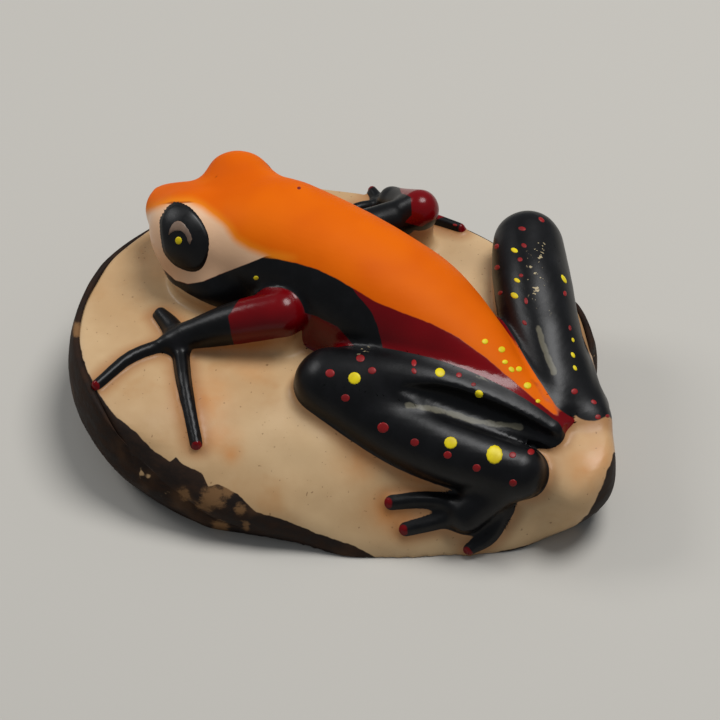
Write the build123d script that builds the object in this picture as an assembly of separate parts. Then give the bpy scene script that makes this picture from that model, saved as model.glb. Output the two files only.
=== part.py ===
from build123d import *
import os
from math import cos, pi, radians, sin

# A poison frog carved in relief on the nut that it is cut from, with the brown
# seed coat left on the nut's sides. Millimetres, +Z up, the nut's flat underside
# on z = 0, the frog's nose towards -Y and the frog's left side towards +X.

# Driving sizes of the nut
nut_length = 54.0
nut_width = 42.0
nut_height = 12.0
husk_thickness = 0.8
deck_height = 9.0
slope_direction = 36.9
knob_breadth = 9.0
knob_height = 7.0

# Driving sizes of the frog
back_rise = 9.4
eye_breadth = 7.0
eye_depth = 6.4
thigh_radius = 2.7
shank_radius = 2.9
heel_radius = 1.8
toe_radius = 0.7
arm_radius = 2.1
palm_radius = 1.15
finger_radius = 0.7

# The frog and the slope as shares of the nut that they are carved from
frog_length_share = 0.833
frog_stance_share = 0.952
body_width_share = 0.324
frog_shift_share = 0.071
frog_advance_share = 0.019
slope_start_share = 0.056
slope_run_share = 0.278
slope_drop_share = 0.956

# Shares of the nut, round its outline from the tail end by the frog's left
outline_shares = (
    (-0.05, 1.01), (0.43, 0.79), (0.75, 0.50), (0.87, 0.20), (0.99, -0.12),
    (0.95, -0.50), (0.63, -0.83), (0.11, -0.97), (-0.51, -0.84), (-0.86, -0.46),
    (-0.97, -0.05), (-0.92, 0.27), (-0.76, 0.57), (-0.43, 0.77),
)
# Height of each level of the uncut nut, and its breadth there
level_shares = ((0.00, 0.91), (0.20, 0.97), (0.42, 1.00), (0.75, 0.97), (1.00, 0.88))
slope_power = 2.6
slope_step_count = 6
slope_overrun_share = 1.2
sector_step_count = 8
flatness = 1e-9

# The directions, in degrees from the tail, between which the seed coat is left
front_husk_span = (60, 296)
side_husk_span = (306, 328)
tail_husk_span = (342, 372)

# The torso's sections: along the frog, shift and half width, top and bottom
torso_shares = (
    (-0.996, 0.12, 0.07, 0.60, 0.50),
    (-0.969, 0.18, 0.28, 0.65, 0.40),
    (-0.898, 0.20, 0.42, 0.70, 0.27),
    (-0.778, 0.14, 0.65, 0.77, 0.06),
    (-0.600, -0.05, 0.92, 0.94, -0.27),
    (-0.480, -0.12, 0.98, 1.01, -0.50),
    (-0.356, -0.16, 0.99, 1.02, -0.69),
    (-0.044, -0.19, 1.00, 0.96, -0.80),
    (0.267, -0.18, 0.98, 0.80, -0.80),
    (0.533, -0.09, 0.75, 0.57, -0.80),
    (0.778, 0.04, 0.42, 0.31, -0.69),
    (1.004, 0.12, 0.13, 0.06, -0.43),
)
neck_share = -0.427
section_power = 2.3
section_flat_count = 24
leg_flat_count = 18
arm_flat_count = 16
dome_flat_count = 20
# Degrees round a limb's cap, from its side to its tip, and up a dome
cap_angles = (0, 26, 50, 72)
bend_shares = (0.2, 0.4, 0.6, 0.8)
dome_angles = (-72, -48, -24, 0, 24, 48, 72)

eye_shares = {"left": (0.19, -0.74, 0.53), "right": (-0.20, -0.725, 0.58)}
eye_aim_shares = {"left": (0.79, 0.10, 0.50), "right": (-0.79, 0.10, 0.50)}
knob_shares = (0.03, 1.09, -0.38)

# A limb's start, middle and end, and its radius at each
limb_shares = {
    "left_thigh": ((0.10, 0.96, 0.00), (0.22, 0.52, 0.13), (0.42, 0.12, 0.11), (0.45, 1.05, 0.95)),
    "right_thigh": ((-0.01, 0.96, 0.02), (-0.41, 0.60, 0.17), (-0.77, 0.36, 0.29), (0.60, 0.98, 1.04)),
    "left_shank": ((0.44, 0.13, 0.04), (0.41, 0.54, -0.11), (0.30, 0.94, -0.19), (0.90, 1.03, 0.86)),
    "right_shank": ((-0.80, 0.40, 0.22), (-0.47, 0.68, 0.08), (-0.19, 1.00, -0.11), (1.00, 0.84, 0.68)),
    "left_upper_arm": ((0.10, -0.37, 0.32), (0.19, -0.28, 0.34), (0.28, -0.20, 0.34), (0.80, 0.88, 0.95)),
    "right_upper_arm": ((-0.25, -0.33, 0.30), (-0.40, -0.22, 0.33), (-0.55, -0.12, 0.36), (0.80, 0.82, 0.85)),
    "left_forearm": ((0.30, -0.19, 0.37), (0.43, -0.34, 0.26), (0.56, -0.49, 0.11), (1.02, 0.90, 0.60)),
    "right_forearm": ((-0.60, -0.07, 0.44), (-0.66, -0.17, 0.30), (-0.71, -0.27, 0.16), (0.92, 0.72, 0.60)),
}

# Where a palm or heel ends on the carved top, and its lift there in shares of its radius
palm_shares = {
    "left_hand": (0.61, -0.53, 0.40),
    "right_hand": (-0.72, -0.29, 0.50),
    "left_foot": (0.49, 0.82, 0.20),
    "right_foot": (-0.27, 0.98, -1.40),
}
finger_shares = {
    "left_hand": (
        ((0.56, -0.52), (0.52, -0.61), (0.49, -0.68)),
        ((0.58, -0.53), (0.78, -0.625), (1.01, -0.64)),
        ((0.61, -0.50), (0.79, -0.35), (0.99, -0.16)),
    ),
    "right_hand": (
        ((-0.72, -0.29), (-0.74, -0.36), (-0.77, -0.41)),
        ((-0.71, -0.29), (-0.65, -0.38), (-0.55, -0.43)),
        ((-0.73, -0.26), (-0.77, -0.10), (-0.79, 0.03)),
    ),
}
left_toe_shares = (
    ((0.46, 0.82), (0.56, 0.67), (0.67, 0.55)),
    ((0.48, 0.83), (0.58, 0.74), (0.69, 0.64)),
    ((0.38, 0.93), (0.48, 0.93), (0.57, 0.88)),
)
# The right hind toes go down the nut's side: shares of its outline and its deck's height
right_toe_shares = (
    ((-0.48, 0.75, 0.66), (-0.53, 0.72, 0.52)),
    ((-0.45, 0.76, 0.56), (-0.48, 0.75, 0.38)),
    ((-0.42, 0.78, 0.54), (-0.42, 0.78, 0.34)),
)
digit_flat_count = 8
digit_taper_share = 0.6
digit_lift_share = 0.3
digit_tip_share = 0.5
wall_breadth_share = 0.8

# Worked out from the sizes above
frog_length = nut_length * frog_length_share
frog_stance = nut_width * frog_stance_share
body_width = nut_width * body_width_share
frog_shift = nut_width * frog_shift_share
frog_advance = nut_length * frog_advance_share
slope_start = nut_length * slope_start_share
slope_run = nut_length * slope_run_share
slope_drop = deck_height * slope_drop_share
up = Vector(0, 0, 1)
reach = nut_length
slope_along = Vector(cos(radians(slope_direction)), sin(radians(slope_direction)), 0)


def place(across, along, rise):
    """A point of the frog, from shares of its stance, its length and its back's rise."""
    x = frog_stance / 2 * across - frog_shift
    y = frog_length / 2 * along - frog_advance
    return Vector(x, y, deck_height + back_rise * rise)


def carved_height(point):
    """How high the carved top of the nut is below or above a point."""
    run = (point.dot(slope_along) - slope_start) / slope_run
    return deck_height - slope_drop * max(run, 0) ** slope_power


def nut(coat):
    """The whole nut, less a coat of the given thickness, before its top is carved."""
    levels = []
    for height_share, breadth_share in level_shares:
        half_width = (nut_width / 2 - coat) * breadth_share
        half_length = (nut_length / 2 - coat) * breadth_share
        points = [
            (half_width * across, half_length * along, nut_height * height_share)
            for across, along in outline_shares
        ]
        levels.append(Face(Wire([Edge.make_spline(points, periodic=True)])))
    return loft(levels, ruled=True)


def carving():
    """What is carved off the nut: all above the deck and the slope on its left."""
    across_slope = Plane(origin=(0, 0, 0), x_dir=slope_along, z_dir=slope_along.cross(up))
    slope = []
    for step in range(slope_step_count + 1):
        run = slope_overrun_share * step / slope_step_count
        slope.append((slope_start + slope_run * run, deck_height - slope_drop * run**slope_power))
    far = (reach, slope[-1][1])
    top = [far, (reach, reach), (-reach, reach), (-reach, deck_height)]
    return extrude(across_slope * make_face(Polyline(*slope, *top, close=True)), amount=reach, both=True)


def sector(span):
    """A wedge of all space between two directions, in degrees from the tail."""
    start, end = span
    corners = [(0, 0)]
    for step in range(sector_step_count + 1):
        turn = radians(start + (end - start) * step / sector_step_count)
        corners.append((2 * reach * sin(turn), 2 * reach * cos(turn)))
    return extrude(make_face(Polyline(*corners, close=True)), amount=reach)


def skin(rings):
    """A closed solid of flat faces over rings of as many points each, given in order."""
    faces = [Face(Wire.make_polygon(rings[0])), Face(Wire.make_polygon(rings[-1]))]
    for lower, upper in zip(rings, rings[1:]):
        for index in range(len(lower)):
            near, far = lower[index - 1], lower[index]
            above_near, above_far = upper[index - 1], upper[index]
            off_plane = (far - near).cross(above_near - near).dot(above_far - near)
            if abs(off_plane) < flatness:
                faces.append(Face(Wire.make_polygon([near, far, above_far, above_near])))
            else:
                faces.append(Face(Wire.make_polygon([near, far, above_far])))
                faces.append(Face(Wire.make_polygon([near, above_far, above_near])))
    return Solid(Shell(faces))


def ring(plane, radius, count):
    """The corners of a regular polygon on a plane, about its origin."""
    turns = [2 * pi * index / count for index in range(count)]
    return [plane.from_local_coords((radius * cos(turn), radius * sin(turn))) for turn in turns]


def stacked(rings, count):
    """Flat-sided rings, given as height and radius, joined one above another along Z."""
    return skin([ring(Plane.XY.offset(height), radius, count) for height, radius in rings])


def bowed(start, middle, end, share):
    """A point on the smooth bend from start to end that passes through the middle."""
    bow = middle - (start + end) / 2
    return start + (end - start) * share + bow * 4 * share * (1 - share)


def limb_rings(places, radii):
    """A limb's ring centres, headings and radii: a round cap, a bowed swelling, a round cap."""
    start, middle, end = places
    start_radius, middle_radius, end_radius = radii
    first_heading = (bowed(start, middle, end, bend_shares[0]) - start).normalized()
    last_heading = (end - bowed(start, middle, end, bend_shares[-1])).normalized()
    caps = [radians(angle) for angle in cap_angles]
    rings = []
    for angle in reversed(caps):
        centre = start - first_heading * start_radius * sin(angle)
        rings.append((centre, first_heading, start_radius * cos(angle)))
    for share in bend_shares:
        swell = middle_radius - (start_radius + end_radius) / 2
        radius = start_radius + (end_radius - start_radius) * share + swell * 4 * share * (1 - share)
        heading = (end - start) + (middle - (start + end) / 2) * 4 * (1 - 2 * share)
        rings.append((bowed(start, middle, end, share), heading, radius))
    for angle in caps:
        centre = end + last_heading * end_radius * sin(angle)
        rings.append((centre, last_heading, end_radius * cos(angle)))
    return rings


def spindle(places, radii, count):
    """A bowed limb that swells or wastes at its middle, carved in long flats, with round ends."""
    rings = []
    for centre, heading, radius in limb_rings(places, radii):
        across = Plane(origin=centre, x_dir=up.cross(heading), z_dir=heading)
        rings.append(ring(across, radius, count))
    return skin(rings)


def digit(path, root_radius, tip_radius):
    """A finger, toe or palm: tapered flats along its path, with a bevelled tip."""
    onward = (path[-1] - path[-2]).normalized()
    path = [*path, path[-1] + onward * tip_radius]
    rings = []
    for index, point in enumerate(path):
        progress = index / (len(path) - 2)
        radius = root_radius + (tip_radius - root_radius) * progress
        if index == len(path) - 1:
            radius = tip_radius * digit_tip_share
        before = path[max(index - 1, 0)]
        after = path[min(index + 1, len(path) - 1)]
        heading = after - before
        across = Plane(origin=point, x_dir=up.cross(heading), z_dir=heading)
        rings.append(ring(across, radius, digit_flat_count))
    return skin(rings)


def on_carving(shares, radius):
    """A digit's path, lifted off the carved top by a share of its radius."""
    path = []
    for across, along in shares:
        point = place(across, along, 0)
        path.append(Vector(point.X, point.Y, carved_height(point) + radius * digit_lift_share))
    return path


def on_side(shares):
    """A digit's path on the nut's bare side, at shares of its outline and its deck's height."""
    path = []
    for across, along, height_share in shares:
        height = deck_height * height_share
        levels = [(nut_height * level, breadth) for level, breadth in level_shares]
        for (low, low_breadth), (high, high_breadth) in zip(levels, levels[1:]):
            if low <= height <= high:
                breadth = low_breadth + (high_breadth - low_breadth) * (height - low) / (high - low)
        half_width = (nut_width / 2 - husk_thickness) * breadth
        half_length = (nut_length / 2 - husk_thickness) * breadth
        path.append(Vector(half_width * across, half_length * along, height))
    return path


def limb_places(name, radius):
    """The start, middle and end of a thigh, shank, upper arm or forearm, and its three radii."""
    *places, radius_shares = limb_shares[name]
    return [place(*shares) for shares in places], [radius * share for share in radius_shares]


def limb(name, radius, count):
    """One thigh, shank, upper arm or forearm."""
    return spindle(*limb_places(name, radius), count)


def palm_end(name, radius):
    """Where a palm or heel ends, lifted off the carved top."""
    across, along, lift_share = palm_shares[name]
    point = place(across, along, 0)
    return Vector(point.X, point.Y, carved_height(point) + radius * lift_share)


def foot(name, limb_name, palm_radius, paths, digit_radius):
    """A hand or foot: its palm or heel from inside the limb's end, and its digits, in one piece."""
    limb_end = place(*limb_shares[limb_name][2])
    palm = digit([limb_end, palm_end(name, palm_radius)], palm_radius, palm_radius)
    return palm + [digit(path, digit_radius, digit_radius * digit_taper_share) for path in paths]


def dome(radius, half_height):
    """A bulb of flats round Z, half an ellipse in outline."""
    rings = [
        (half_height * sin(radians(angle)), radius * cos(radians(angle))) for angle in dome_angles
    ]
    return stacked(rings, dome_flat_count)


def under_wall(name, radius):
    """The wall of nut that the carver left under a raised arm, up to the arm's middle."""
    (start, _, end), (start_radius, middle_radius, end_radius) = limb_places(name, radius)
    axis = end - start
    length = axis.length
    left_side = [(0, start_radius), (length / 2, middle_radius), (length, end_radius)]
    right_side = [(along, -out) for along, out in reversed(left_side)]
    outline = [(-start_radius, 0), *left_side, (length + end_radius, 0), *right_side]
    outline = [(along, out * wall_breadth_share) for along, out in outline]
    section = Plane(origin=start, x_dir=axis, z_dir=axis.cross(up.cross(axis)))
    return extrude(section * make_face(Polyline(*outline, close=True)), amount=deck_height, dir=-up)


def frog_section(shares):
    """One upright cross-section of the head and torso, a rounded box in outline."""
    along, shift_share, half_share, top_share, bottom_share = shares
    top = deck_height + back_rise * top_share
    bottom = deck_height + back_rise * bottom_share
    y = frog_length / 2 * along - frog_advance
    x = body_width / 2 * shift_share - frog_shift
    half_width = body_width / 2 * half_share
    half_height = (top - bottom) / 2
    points = []
    for index in range(section_flat_count):
        turn = 2 * pi * index / section_flat_count
        across = abs(cos(turn)) ** (2 / section_power) * (1 if cos(turn) >= 0 else -1)
        rise = abs(sin(turn)) ** (2 / section_power) * (1 if sin(turn) >= 0 else -1)
        points.append(Vector(x + half_width * across, y, (top + bottom) / 2 + half_height * rise))
    return points


def eye(side):
    """An eye's whole bulge, of circles round the way that it looks."""
    socket = Plane(origin=place(*eye_shares[side]), z_dir=Vector(*eye_aim_shares[side]))
    return socket * dome(eye_breadth / 2, eye_depth / 2)


def seat(name, piece, neighbours):
    """Cut a piece down to the carved top and to the neighbours that it meets."""
    piece = piece & carved_off
    for neighbour in neighbours:
        piece -= neighbour
    parts[name] = piece


# All the space above the carved top, and the knob left standing at the nut's tail
carved_off = carving()
kernel = nut(husk_thickness)
knob = kernel & Pos(place(*knob_shares)) * dome(knob_breadth / 2, knob_height / 2)

# The head and torso, which are one swelling form, parted behind the jaw
body = (skin([frog_section(shares) for shares in torso_shares]) & carved_off) - knob
fore = Pos(0, place(0, neck_share, 0).Y - reach / 2, 0) * Box(2 * reach, reach, 2 * reach)
head = body & fore

# The nut with the walls under the arms, and the seed coat left on its sides
seed_coat = nut(0) - kernel - carved_off
walls = {
    name: (under_wall(name, arm_radius) & carved_off) - body for name in limb_shares if "arm" in name
}
base = kernel - carved_off + knob
for wall in walls.values():
    base += wall
parts = {
    "nut_base": base,
    "front_husk": seed_coat & sector(front_husk_span),
    "side_husk": seed_coat & sector(side_husk_span),
    "tail_husk": seed_coat & sector(tail_husk_span),
    "torso": body - fore,
    "head": head,
}
for side in eye_shares:
    parts[f"{side}_eye"] = eye(side) - head

# The limbs, each cut by the ones before it
for side in ("left", "right"):
    thigh = f"{side}_thigh"
    shank = f"{side}_shank"
    upper_arm = f"{side}_upper_arm"
    forearm = f"{side}_forearm"
    hand = f"{side}_hand"
    fingers = [on_carving(shares, finger_radius) for shares in finger_shares[hand]]
    hips = [parts["left_thigh"]] if side == "right" else []
    arm_walls = [walls[upper_arm], walls[forearm]]
    seat(thigh, limb(thigh, thigh_radius, leg_flat_count), [parts["torso"], knob, *hips])
    seat(shank, limb(shank, shank_radius, leg_flat_count), [parts["torso"], knob, parts[thigh]])
    seat(upper_arm, limb(upper_arm, arm_radius, arm_flat_count), [parts["torso"], head, *arm_walls])
    arm_neighbours = [parts["torso"], head, parts[upper_arm], *arm_walls]
    seat(forearm, limb(forearm, arm_radius, arm_flat_count), arm_neighbours)
    seat(hand, foot(hand, forearm, palm_radius, fingers, finger_radius), [parts[forearm], walls[forearm]])

left_toes = [on_carving(shares, toe_radius) for shares in left_toe_shares]
left_foot = foot("left_foot", "left_shank", heel_radius, left_toes, toe_radius)
seat("left_foot", left_foot, [parts["left_shank"], parts["left_thigh"], knob])
heel = palm_end("right_foot", heel_radius)
right_toes = [[heel, *on_side(shares)] for shares in right_toe_shares]
right_foot = foot("right_foot", "right_shank", heel_radius, right_toes, toe_radius)
parts["right_foot"] = right_foot - parts["right_shank"] - base - parts["side_husk"] - parts["tail_husk"]

os.makedirs("parts", exist_ok=True)
for name, piece in parts.items():
    export_step(piece, f"parts/{name}.step")
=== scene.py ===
"""A poison frog carved in relief on a nut: its sculpted surface, its paint and its setting."""
import math

import bmesh
import bpy
import numpy as np
from mathutils import Matrix, Vector
from mathutils.bvhtree import BVHTree


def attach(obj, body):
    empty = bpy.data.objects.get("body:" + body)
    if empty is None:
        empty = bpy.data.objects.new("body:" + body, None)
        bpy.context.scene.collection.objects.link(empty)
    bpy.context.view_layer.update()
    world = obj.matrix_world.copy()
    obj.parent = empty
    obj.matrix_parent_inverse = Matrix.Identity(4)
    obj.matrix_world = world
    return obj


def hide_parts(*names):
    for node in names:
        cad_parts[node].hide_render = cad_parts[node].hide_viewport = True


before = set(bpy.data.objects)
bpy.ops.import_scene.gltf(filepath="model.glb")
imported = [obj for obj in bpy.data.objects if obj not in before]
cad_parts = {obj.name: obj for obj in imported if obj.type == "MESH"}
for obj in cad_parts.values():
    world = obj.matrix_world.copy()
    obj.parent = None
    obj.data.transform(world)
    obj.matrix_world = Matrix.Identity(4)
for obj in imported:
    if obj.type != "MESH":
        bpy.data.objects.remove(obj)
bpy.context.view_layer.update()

# Sizes are in millimetres and are written to the meshes in metres
MM = 0.001

# The photograph's camera
IMAGE_SIDE = 720
CAMERA_AZIMUTH = 125.0
CAMERA_ELEVATION = 45.0
CAMERA_FOV = 16.0
PIXELS_PER_MM = 10.9
CAMERA_TARGET = (-1.4, 0.2, 6.0)

azimuth = math.radians(CAMERA_AZIMUTH)
elevation = math.radians(CAMERA_ELEVATION)
camera_back = np.array((
    math.sin(azimuth) * math.cos(elevation),
    -math.cos(azimuth) * math.cos(elevation),
    math.sin(elevation),
))
camera_right = np.cross(-camera_back, (0, 0, 1))
camera_right /= np.linalg.norm(camera_right)
camera_up = np.cross(camera_right, -camera_back)
focal = IMAGE_SIDE / 2 / math.tan(math.radians(CAMERA_FOV / 2))
camera_reach = focal / PIXELS_PER_MM
camera_place = np.array(CAMERA_TARGET) + camera_back * focal / PIXELS_PER_MM

# Sizes of the nut and the frog, as in the solids
NUT_LENGTH = 54.0
NUT_WIDTH = 42.0
NUT_HEIGHT = 12.0
HUSK_THICKNESS = 0.8
COAT_DEPTH = 0.5
DECK_HEIGHT = 9.0
SLOPE_DIRECTION = 36.9
SLOPE_POWER = 2.6
KNOB_BREADTH = 10.0
KNOB_HEIGHT = 7.0
BODY_WIDTH = NUT_WIDTH * 0.324
BACK_RISE = 9.4
EYE_BREADTH = 7.0
EYE_DEPTH = 6.4
TOE_RADIUS = 0.68
ARM_RADIUS = 2.1
PALM_RADIUS = 1.15
FINGER_RADIUS = 0.74
FROG_LENGTH = NUT_LENGTH * 0.833
FROG_STANCE = NUT_WIDTH * 0.952
FROG_SHIFT = NUT_WIDTH * 0.071
FROG_ADVANCE = NUT_LENGTH * 0.019
SLOPE_START = NUT_LENGTH * 0.056
SLOPE_RUN = NUT_LENGTH * 0.278
SLOPE_DROP = DECK_HEIGHT * 0.956
NECK_SHARE = -0.427
SECTION_POWER = 2.3

# The nut's outline seen from above, in shares of its half width and half length
OUTLINE = (
    (-0.05, 1.01), (0.22, 0.94), (0.45, 0.79), (0.75, 0.5), (0.87, 0.2), (0.99, -0.12), (0.95, -0.5),
    (0.63, -0.83), (0.11, -0.97), (-0.53, -0.85), (-0.875, -0.475), (-0.975, -0.05), (-0.925, 0.28),
    (-0.785, 0.575), (-0.46, 0.8), (-0.24, 0.95),
)
# The nut's breadth at each share of its height
LEVELS = ((0, 0.91), (0.2, 0.97), (0.42, 1), (0.75, 0.97), (1, 0.88))
# Where each remnant of coat starts and ends round the nut, in degrees from its tail
HUSK_SPANS = {"front_husk": (60, 296), "side_husk": (306, 328), "tail_husk": (342, 372)}

# The torso's sections: along the frog, shift, half width, top and bottom, in shares
TORSO = (
    (-1.01, 0.12, 0.07, 0.57, 0.46),
    (-0.98, 0.18, 0.28, 0.63, 0.32),
    (-0.902, 0.2, 0.43, 0.74, 0.16),
    (-0.778, 0.14, 0.65, 0.84, -0.08),
    (-0.6, -0.05, 0.92, 0.95, -0.36),
    (-0.48, -0.12, 0.98, 1.01, -0.55),
    (-0.356, -0.16, 0.99, 1.02, -0.69),
    (-0.044, -0.19, 1, 0.96, -0.8),
    (0.267, -0.18, 0.98, 0.8, -0.8),
    (0.533, -0.09, 0.75, 0.57, -0.8),
    (0.778, 0.04, 0.42, 0.31, -0.69),
    (1.004, 0.12, 0.13, 0.06, -0.43),
)
# Each eye's centre and the way its axis points
EYES = {
    "left_eye": ((0.19, -0.74, 0.53), (0.79, 0.1, 0.5)),
    "right_eye": ((-0.2, -0.725, 0.58), (-0.79, 0.1, 0.5)),
}
# The middle of the jaw's swelling under each eye
JAWS = ((0.24, -0.6, 0.15), (-0.24, -0.6, 0.15))
JAW_RADIUS = 2.7
JAW_HALF_LENGTH = 4.4
KNOB = (0.04, 1.12, -0.42)
LIMB_RADII = {"thigh": 2.7, "shank": 2.9, "upper_arm": ARM_RADIUS, "forearm": ARM_RADIUS}
# Each limb's start, middle and end, and its radius there in shares
LIMBS = {
    "left_thigh": ((0.1, 0.96, 0), (0.22, 0.52, 0.13), (0.42, 0.12, 0.11), (0.45, 1.05, 0.95)),
    "right_thigh": ((-0.03, 0.93, 0.04), (-0.41, 0.6, 0.17), (-0.765, 0.355, 0.28), (0.42, 1.09, 0.88)),
    "left_shank": ((0.44, 0.13, 0.04), (0.41, 0.54, -0.11), (0.3, 0.94, -0.19), (0.9, 1.03, 0.86)),
    "right_shank": ((-0.77, 0.4, 0.2), (-0.42, 0.69, 0.08), (-0.13, 1.02, -0.15), (0.9, 0.84, 0.7)),
    "left_upper_arm": ((0.1, -0.37, 0.32), (0.19, -0.28, 0.34), (0.28, -0.2, 0.34), (0.8, 0.88, 0.95)),
    "right_upper_arm": ((-0.25, -0.33, 0.3), (-0.4, -0.22, 0.33), (-0.55, -0.12, 0.36), (0.8, 0.82, 0.85)),
    "left_forearm": ((0.3, -0.19, 0.37), (0.43, -0.34, 0.26), (0.56, -0.49, 0.11), (1.02, 0.9, 0.6)),
    "right_forearm": ((-0.6, -0.07, 0.44), (-0.66, -0.17, 0.3), (-0.71, -0.27, 0.16), (0.92, 0.72, 0.6)),
}
ARMS = [name for name in LIMBS if "arm" in name]
LEGS = [name for name in LIMBS if "arm" not in name]
# Each palm's radius, its limb, and where it ends on the carved top, with its lift in shares of its radius
PALMS = {
    "left_hand": (PALM_RADIUS, "left_forearm", (0.61, -0.53, 0.4)),
    "right_hand": (PALM_RADIUS, "right_forearm", (-0.72, -0.29, 0.5)),
    "left_foot": (1.8, "left_shank", (0.49, 0.82, 0.2)),
    "right_foot": (1.45, "right_shank", (-0.24, 0.99, -1.4)),
}
# The digits' paths on the carved top, and the far toes' over the nut's side by share of its height
DECK_DIGITS = {
    "left_hand": (
        ((0.57, -0.53), (0.52, -0.61), (0.49, -0.68)),
        ((0.58, -0.53), (0.78, -0.625), (1.01, -0.64)),
        ((0.61, -0.5), (0.79, -0.35), (0.99, -0.16)),
    ),
    "right_hand": (
        ((-0.72, -0.29), (-0.74, -0.36), (-0.77, -0.41)),
        ((-0.71, -0.29), (-0.65, -0.38), (-0.55, -0.43)),
        ((-0.73, -0.26), (-0.77, -0.1), (-0.79, 0.03)),
    ),
    "left_foot": (
        ((0.46, 0.82), (0.56, 0.67), (0.655, 0.565)),
        ((0.48, 0.83), (0.58, 0.74), (0.68, 0.65)),
        ((0.38, 0.93), (0.475, 0.925), (0.56, 0.88)),
    ),
}
FAR_TOES = (
    ((-0.48, 0.75, 0.66), (-0.53, 0.72, 0.52)),
    ((-0.45, 0.76, 0.56), (-0.48, 0.75, 0.38)),
    ((-0.42, 0.78, 0.54), (-0.42, 0.78, 0.34)),
)
DIGIT_TAPER = 0.64
DIGIT_LIFT = 0.3
STOUT_DIGIT = 1.5

# Paint borders, as pixels of the photograph
ORANGE_BORDER = (
    (120, 216), (149, 212), (158, 208), (171, 202), (189, 202), (202, 209), (215, 218), (226, 228),
    (234, 241), (249, 250), (267, 257), (297, 263), (319, 270), (341, 281), (349, 286), (374, 301),
    (400, 312), (430, 323), (459, 338), (485, 357), (511, 379), (537, 401), (556, 416), (575, 425),
)
ORANGE_CLOSE = ((640, 425), (640, 60), (120, 60))
BLACK_BAND = (
    (110, 250), (150, 256), (165, 271), (175, 280), (188, 284), (204, 281), (218, 275), (236, 268),
    (254, 261), (266, 250), (283, 250), (320, 262), (346, 278), (358, 296), (371, 311), (378, 328),
    (383, 350), (363, 354), (352, 344), (338, 327), (318, 317), (302, 312), (280, 330), (194, 345),
    (110, 345),
)
CREAM_CHEEK = (
    (120, 205), (149, 205), (202, 202), (249, 242), (290, 252), (266, 256), (254, 261), (236, 268),
    (218, 275), (204, 281), (188, 284), (175, 280), (165, 271), (158, 264), (110, 262),
)
COAT_BORDER = (
    (100, 262), (84, 286), (79, 305), (79, 342), (84, 362), (88, 371), (99, 394), (115, 416), (134, 431),
    (156, 453), (170, 461), (176, 457), (182, 464), (202, 473), (208, 487), (218, 484), (238, 494),
    (256, 512), (282, 519), (319, 534), (352, 545), (380, 560),
)
COAT_CLOSE = ((380, 700), (0, 700), (0, 262))
TAIL_COAT = (
    (640, 450), (614, 452), (611, 462), (606, 474), (602, 486), (596, 500), (588, 514), (574, 527),
    (556, 537), (530, 544), (500, 552), (470, 558), (470, 600), (640, 600),
)
ARMS_RED = (
    ((228, 316), (231, 334), (236, 352), (262, 362), (300, 350), (318, 318), (306, 284), (250, 284)),
    (
        (398, 180), (401, 193), (411, 197), (412, 215), (405, 222), (421, 227), (434, 220), (455, 214),
        (455, 180),
    ),
)
STREAKS = (
    ((408, 405), (432, 409), (457, 415), (475, 421), (498, 424), (520, 427)),
    ((539, 328), (543, 345), (548, 358), (554, 372)),
    ((478, 376), (493, 380)),
)
STREAK_HALF_WIDTH = 2.6
# The hollow between thigh and shank: pixel, and radius in millimetres
HOLLOW = (
    (404, 389, 0.2), (418, 392, 0.6), (434, 397, 1.05), (452, 403, 1.25), (476, 411, 1.25), (505, 422, 1.1),
    (534, 433, 0.8), (556, 441, 0.4),
)
WORN_LINES = (((537, 247), (535, 280), (541, 308)), ((330, 306), (360, 345)))
WORN_HALF_WIDTH = 1.2
# Soft spots: pixel and reach in pixels. Of the amber spots, the three at the front left and the one at the
# rump are staining of the ivory; those under the near arm, under the near shank and among the near toes are
# painted shade.
AMBER_STAINS_AND_SHADE = (
    (230, 452, 11), (220, 438, 18), (206, 402, 26), (392, 514, 24), (362, 452, 24), (420, 476, 26),
    (592, 470, 30), (250, 352, 22),
)
COAT_SCUFFS = (
    (184, 493, 9), (212, 500, 17), (228, 492, 8), (240, 508, 9), (220, 530, 11), (246, 526, 7), (78, 330, 9),
)

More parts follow.
